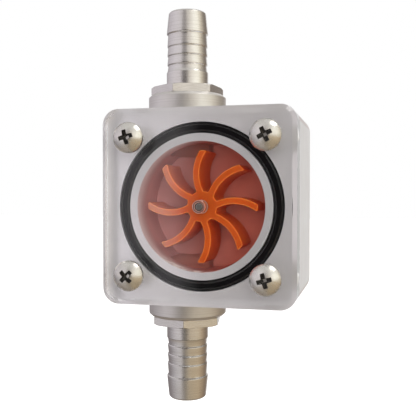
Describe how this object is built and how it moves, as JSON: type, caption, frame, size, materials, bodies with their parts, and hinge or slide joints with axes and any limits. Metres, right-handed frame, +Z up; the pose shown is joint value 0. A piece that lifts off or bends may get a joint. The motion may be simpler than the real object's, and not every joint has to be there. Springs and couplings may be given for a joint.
{
  "type": "turbine flow meter",
  "caption": "Square metal block with a clear front window, a curved-blade paddle wheel inside, and ridged hose barbs in its top and bottom faces.",
  "frame": {"origin": "middle of the block's flat back face, on the wheel's axle line", "axes": "+Z up, along the two hose barbs; +X to the right as seen from the window; +Y out of the back, so the window faces -Y"},
  "size_m": [0.06, 0.0455, 0.129],
  "materials": {
    "block_metal": "satin, fine machined",
    "clear_acrylic": "polished clear acrylic",
    "seal_rubber": "black, slightly shiny",
    "wheel_plastic": "orange moulded plastic",
    "axle_steel": "ground",
    "bush_plastic": "dark brown bearing plastic",
    "port_seal_plastic": "white sealing plastic",
    "fitting_metal": "turned, satin",
    "screw_steel": "bright"
  },
  "bodies": {
    "housing": {"body_block": "block_metal", "front_cover": "clear_acrylic", "cover_o_ring": "seal_rubber", "axle_bush_front": "bush_plastic", "axle_bush_rear": "bush_plastic", "thrust_washer_front": "bush_plastic", "thrust_washer_rear": "bush_plastic", "port_seal_top": "port_seal_plastic", "port_seal_bottom": "port_seal_plastic", "hose_barb_top": "fitting_metal", "hose_barb_bottom": "fitting_metal", "cover_screw_top_left": "screw_steel", "cover_screw_top_right": "screw_steel", "cover_screw_bottom_left": "screw_steel", "cover_screw_bottom_right": "screw_steel"},
    "wheel": {"rotor": "wheel_plastic", "axle": "axle_steel"}
  },
  "joints": [
    {"name": "rotor_spin", "type": "hinge", "parent": "housing", "child": "wheel", "pos_m": [0, -0.0245, 0], "axis": [0, -1, 0], "continuous": true}
  ]
}
